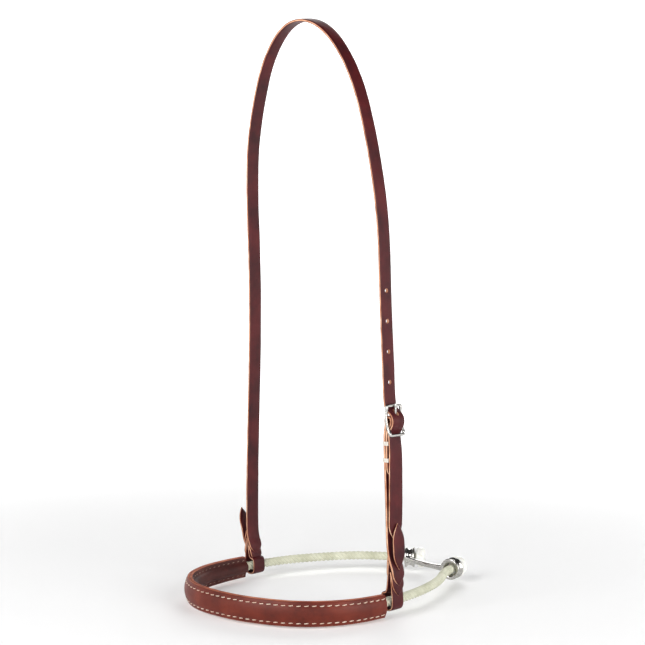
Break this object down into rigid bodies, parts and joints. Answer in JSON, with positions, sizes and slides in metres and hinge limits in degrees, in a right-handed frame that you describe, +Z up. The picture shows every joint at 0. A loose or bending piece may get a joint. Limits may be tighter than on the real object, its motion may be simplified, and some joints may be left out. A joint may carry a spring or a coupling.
{
  "type": "rope tie-down noseband headstall",
  "caption": "Single-strap leather headstall carrying a stiff rope noseband with a stitched leather cover, a centre-bar buckle and a metal chin link.",
  "frame": {"origin": "middle of the crown strap's underside, where the headstall rests on the horse's poll", "axes": "+Z up as worn, -Y to the horse's nose, +X to the near side, where the buckle is"},
  "size_m": [0.2389, 0.3026, 0.5995],
  "materials": {
    "strap_leather": "oiled latigo, burgundy grain face with raw tan edges",
    "cover_leather": "smooth chestnut bridle leather, semi-gloss",
    "nickel_plate": "polished nickel plate",
    "lariat_rope": "three-strand waxed nylon, matt",
    "saddle_thread": "waxed cream thread",
    "waxed_thread": "white waxed thread",
    "sealed_knot": "melted and sealed rope, translucent off-white"
  },
  "bodies": {
    "headstall": {"crown_strap": "strap_leather", "cheek_strap": "strap_leather", "fold_ties": "waxed_thread"},
    "buckle": {"buckle_frame": "nickel_plate"},
    "prong": {"buckle_prong": "nickel_plate"},
    "noseband": {"noseband_rope": "lariat_rope", "noseband_cover": "cover_leather", "noseband_liner": "cover_leather", "upper_stitching": "saddle_thread", "lower_stitching": "saddle_thread", "rope_end_far": "sealed_knot", "rope_end_near": "sealed_knot"},
    "link": {"chin_link": "nickel_plate"}
  },
  "joints": [
    {"name": "noseband_swing", "type": "hinge", "parent": "headstall", "child": "noseband", "pos_m": [0.0275, 0, -0.584], "axis": [1, 0, 0], "range_deg": [-8, 8]},
    {"name": "link_rock", "type": "hinge", "parent": "noseband", "child": "link", "pos_m": [0.05285, 0.14706, -0.584], "axis": [0.9933, -0.1155, 0], "range_deg": [-5, 5]},
    {"name": "buckle_rock", "type": "hinge", "parent": "headstall", "child": "buckle", "pos_m": [0.1319, 0, -0.4053], "axis": [0, 1, 0], "range_deg": [-2, 2]},
    {"name": "prong_lift", "type": "hinge", "parent": "buckle", "child": "prong", "pos_m": [0.1319, 0, -0.4053], "axis": [0, 1, 0], "range_deg": [0, 10]}
  ]
}
